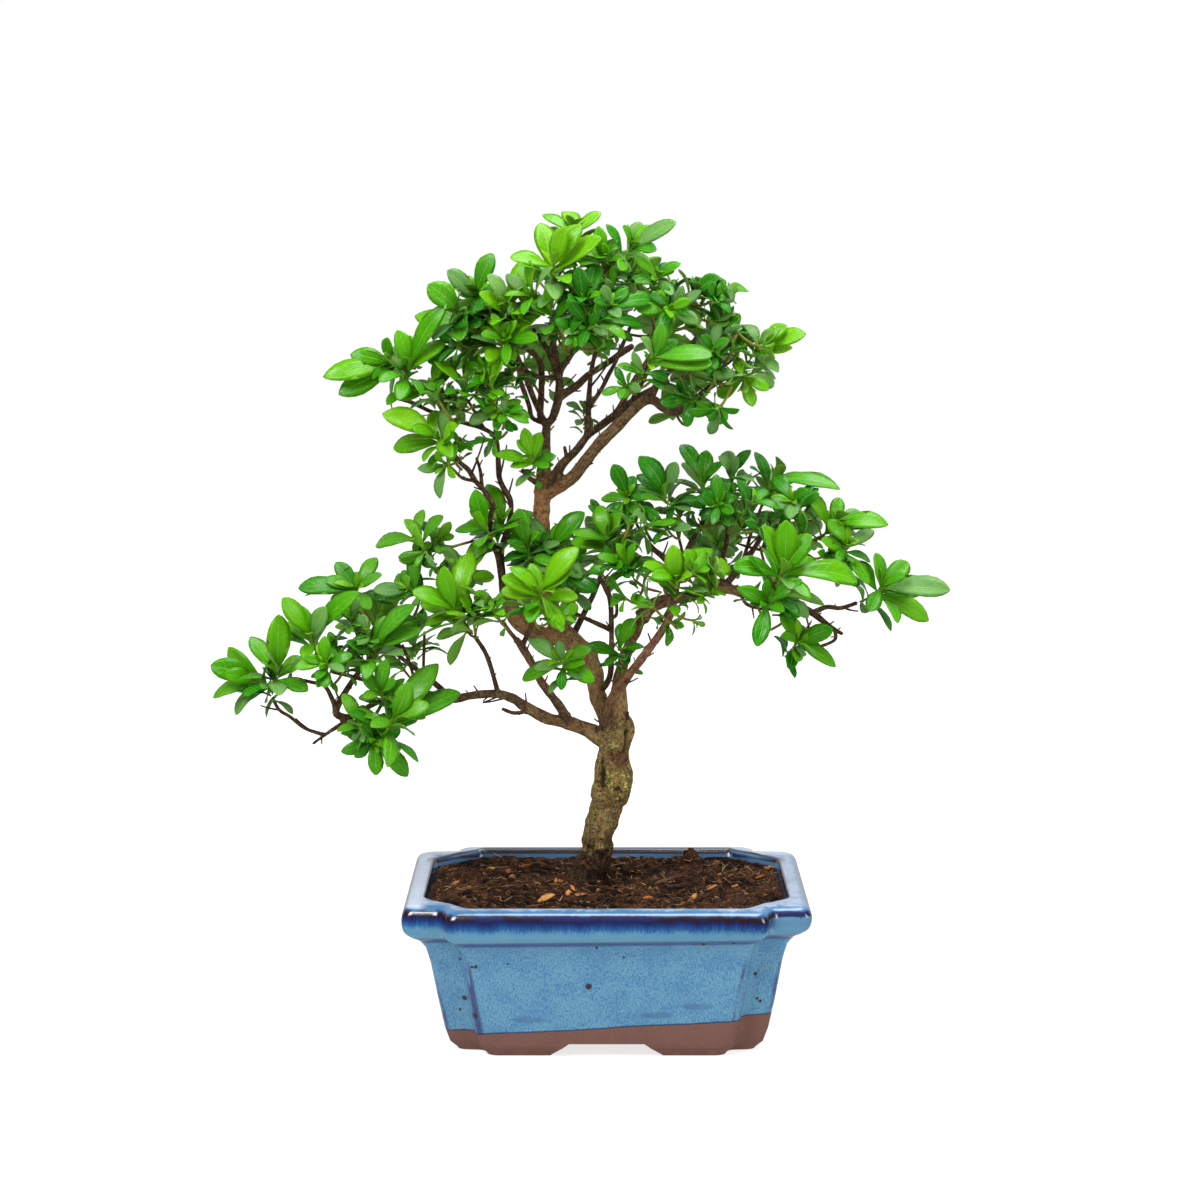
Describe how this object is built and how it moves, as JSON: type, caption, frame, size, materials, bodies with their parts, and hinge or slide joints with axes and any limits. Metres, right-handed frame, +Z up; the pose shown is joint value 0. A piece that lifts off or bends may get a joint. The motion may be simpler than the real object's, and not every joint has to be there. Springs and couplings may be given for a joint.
{
  "type": "satsuki azalea bonsai",
  "caption": "Small-leaved azalea trained as a leaning, spreading bonsai with a leader and two side boughs, planted in a glazed rectangular pot with notched corners and feet.",
  "frame": {"origin": "middle of the bounding box's bottom face, on the surface that the pot's feet stand on", "axes": "+Z up along the tree's height, +X to the right of the front view, +Y away from the viewer"},
  "size_m": [0.3662, 0.16, 0.4124],
  "materials": {
    "glazed_pot": "glossy",
    "soil": "matte",
    "drain_screen": "matte",
    "bark": "matte",
    "leaf_young": "satin",
    "leaf_green": "satin",
    "leaf_dark": "satin",
    "leaf_pale": "matte"
  },
  "bodies": {
    "root": {"pot": "glazed_pot", "soil": "soil", "drain_screen_left": "drain_screen", "drain_screen_right": "drain_screen", "trunk_and_branches": "bark", "crown_peak": "leaf_young", "crown_right_peak": "leaf_green", "crown_centre": "leaf_dark", "crown_heart": "leaf_green", "crown_left_bright": "leaf_young", "crown_left_back": "leaf_dark", "crown_left_tip": "leaf_green", "crown_left_low": "leaf_green", "crown_left_inner": "leaf_green", "crown_left_skirt": "leaf_young", "trunk_tuft": "leaf_green", "crown_right_upper": "leaf_green", "crown_right_shoulder": "leaf_dark", "crown_right_front": "leaf_young", "crown_right_tip": "leaf_young", "crown_right_inner": "leaf_dark", "crown_inner_pale": "leaf_pale", "right_near": "leaf_dark", "right_low_front": "leaf_green", "right_middle": "leaf_dark", "right_top": "leaf_dark", "right_top_far": "leaf_dark", "right_far": "leaf_green", "right_end": "leaf_green", "right_big": "leaf_young", "right_hanging": "leaf_green", "right_back_pale": "leaf_pale", "front_bright": "leaf_young", "front_low": "leaf_green", "centre_right": "leaf_green", "centre_dark": "leaf_dark", "centre_bright": "leaf_young", "centre_left_bright": "leaf_young", "centre_left_big": "leaf_young", "centre_low": "leaf_green", "centre_stem_leaves": "leaf_green", "centre_pale": "leaf_pale", "centre_back_dark": "leaf_dark", "left_middle": "leaf_young", "left_middle_twig": "leaf_green", "left_tip": "leaf_green", "left_front": "leaf_green", "left_heart": "leaf_green", "left_top": "leaf_green", "left_low": "leaf_green", "left_skirt": "leaf_young", "back_crown_left": "leaf_green", "back_crown_peak": "leaf_dark", "back_crown_middle": "leaf_dark", "back_crown_right": "leaf_green", "back_crown_far": "leaf_dark", "back_right": "leaf_green", "back_right_far": "leaf_dark", "back_left": "leaf_green", "back_centre": "leaf_green"}
  },
  "joints": []
}
